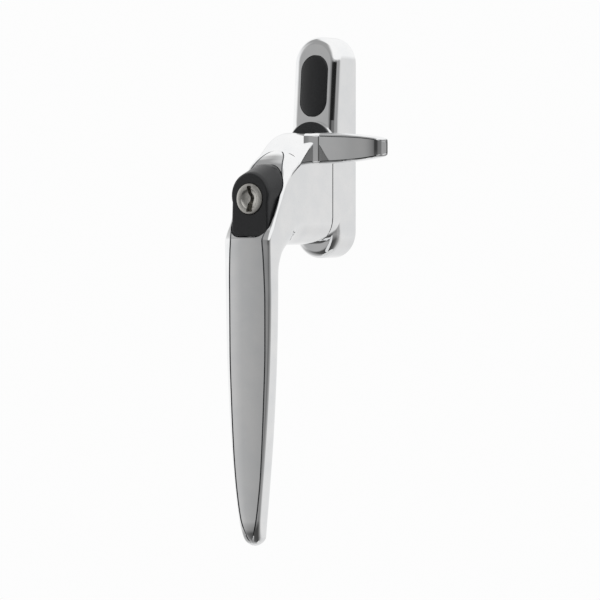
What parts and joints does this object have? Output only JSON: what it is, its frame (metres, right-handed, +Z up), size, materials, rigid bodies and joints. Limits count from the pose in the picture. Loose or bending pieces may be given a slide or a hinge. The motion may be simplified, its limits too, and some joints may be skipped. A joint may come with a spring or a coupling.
{
  "type": "casement window fastener",
  "caption": "Right-hand locking cockspur handle for an outward-opening casement window, with a tapering grip, side nose and key lock on an oblong backplate.",
  "frame": {"origin": "pivot axis at the backplate's back face, midway between the two fixing holes", "axes": "+Z up along the backplate, away from the grip; +Y into the window frame, so the front faces -Y; +X towards the nose"},
  "size_m": [0.0384, 0.0459, 0.1488],
  "materials": {
    "polished_chrome": "polished chrome plate on a zinc casting",
    "black_plastic": "satin moulded black",
    "sintered_bronze": "satin sintered bronze",
    "bright_steel": "turned bright steel",
    "spring_steel": "oiled spring steel",
    "bright_zinc": "plain die-cast zinc",
    "satin_nickel": "satin nickel plate",
    "wafer_brass": "stamped brass"
  },
  "bodies": {
    "backplate": {"base_casting": "polished_chrome", "screw_cover_cap": "black_plastic", "pivot_bush": "sintered_bronze"},
    "handle": {"handle_casting": "polished_chrome", "thrust_washer": "black_plastic", "pivot_spindle": "bright_steel", "spindle_circlip": "spring_steel", "spindle_washer": "bright_steel", "disc_spring": "spring_steel", "stop_pin": "bright_steel", "lock_housing": "black_plastic", "lock_barrel": "bright_zinc", "bolt_guide": "sintered_bronze", "bolt_spring": "spring_steel"},
    "plug": {"key_plug": "satin_nickel", "tumbler_wafers": "wafer_brass", "wafer_springs": "spring_steel", "plug_circlip": "spring_steel", "lock_cam": "bright_steel", "cam_screw": "bright_steel"},
    "bolt": {"lock_bolt": "bright_steel"}
  },
  "joints": [
    {"name": "handle_turn", "type": "hinge", "parent": "backplate", "child": "handle", "pos_m": [0, 0, 0], "axis": [0, 1, 0], "range_deg": [0, 90]},
    {"name": "key_turn", "type": "hinge", "parent": "handle", "child": "plug", "pos_m": [0, 0, -0.01535], "axis": [0, 1, 0], "range_deg": [0, 90]},
    {"name": "bolt_slide", "type": "slide", "parent": "handle", "child": "bolt", "axis": [0, 1, 0], "range_m": [0, 0.004], "deforming": ["bolt_spring"]}
  ],
  "couplings": [
    {"joint": "bolt_slide", "follows": "key_turn", "m_per_rad": 0.0025465}
  ]
}
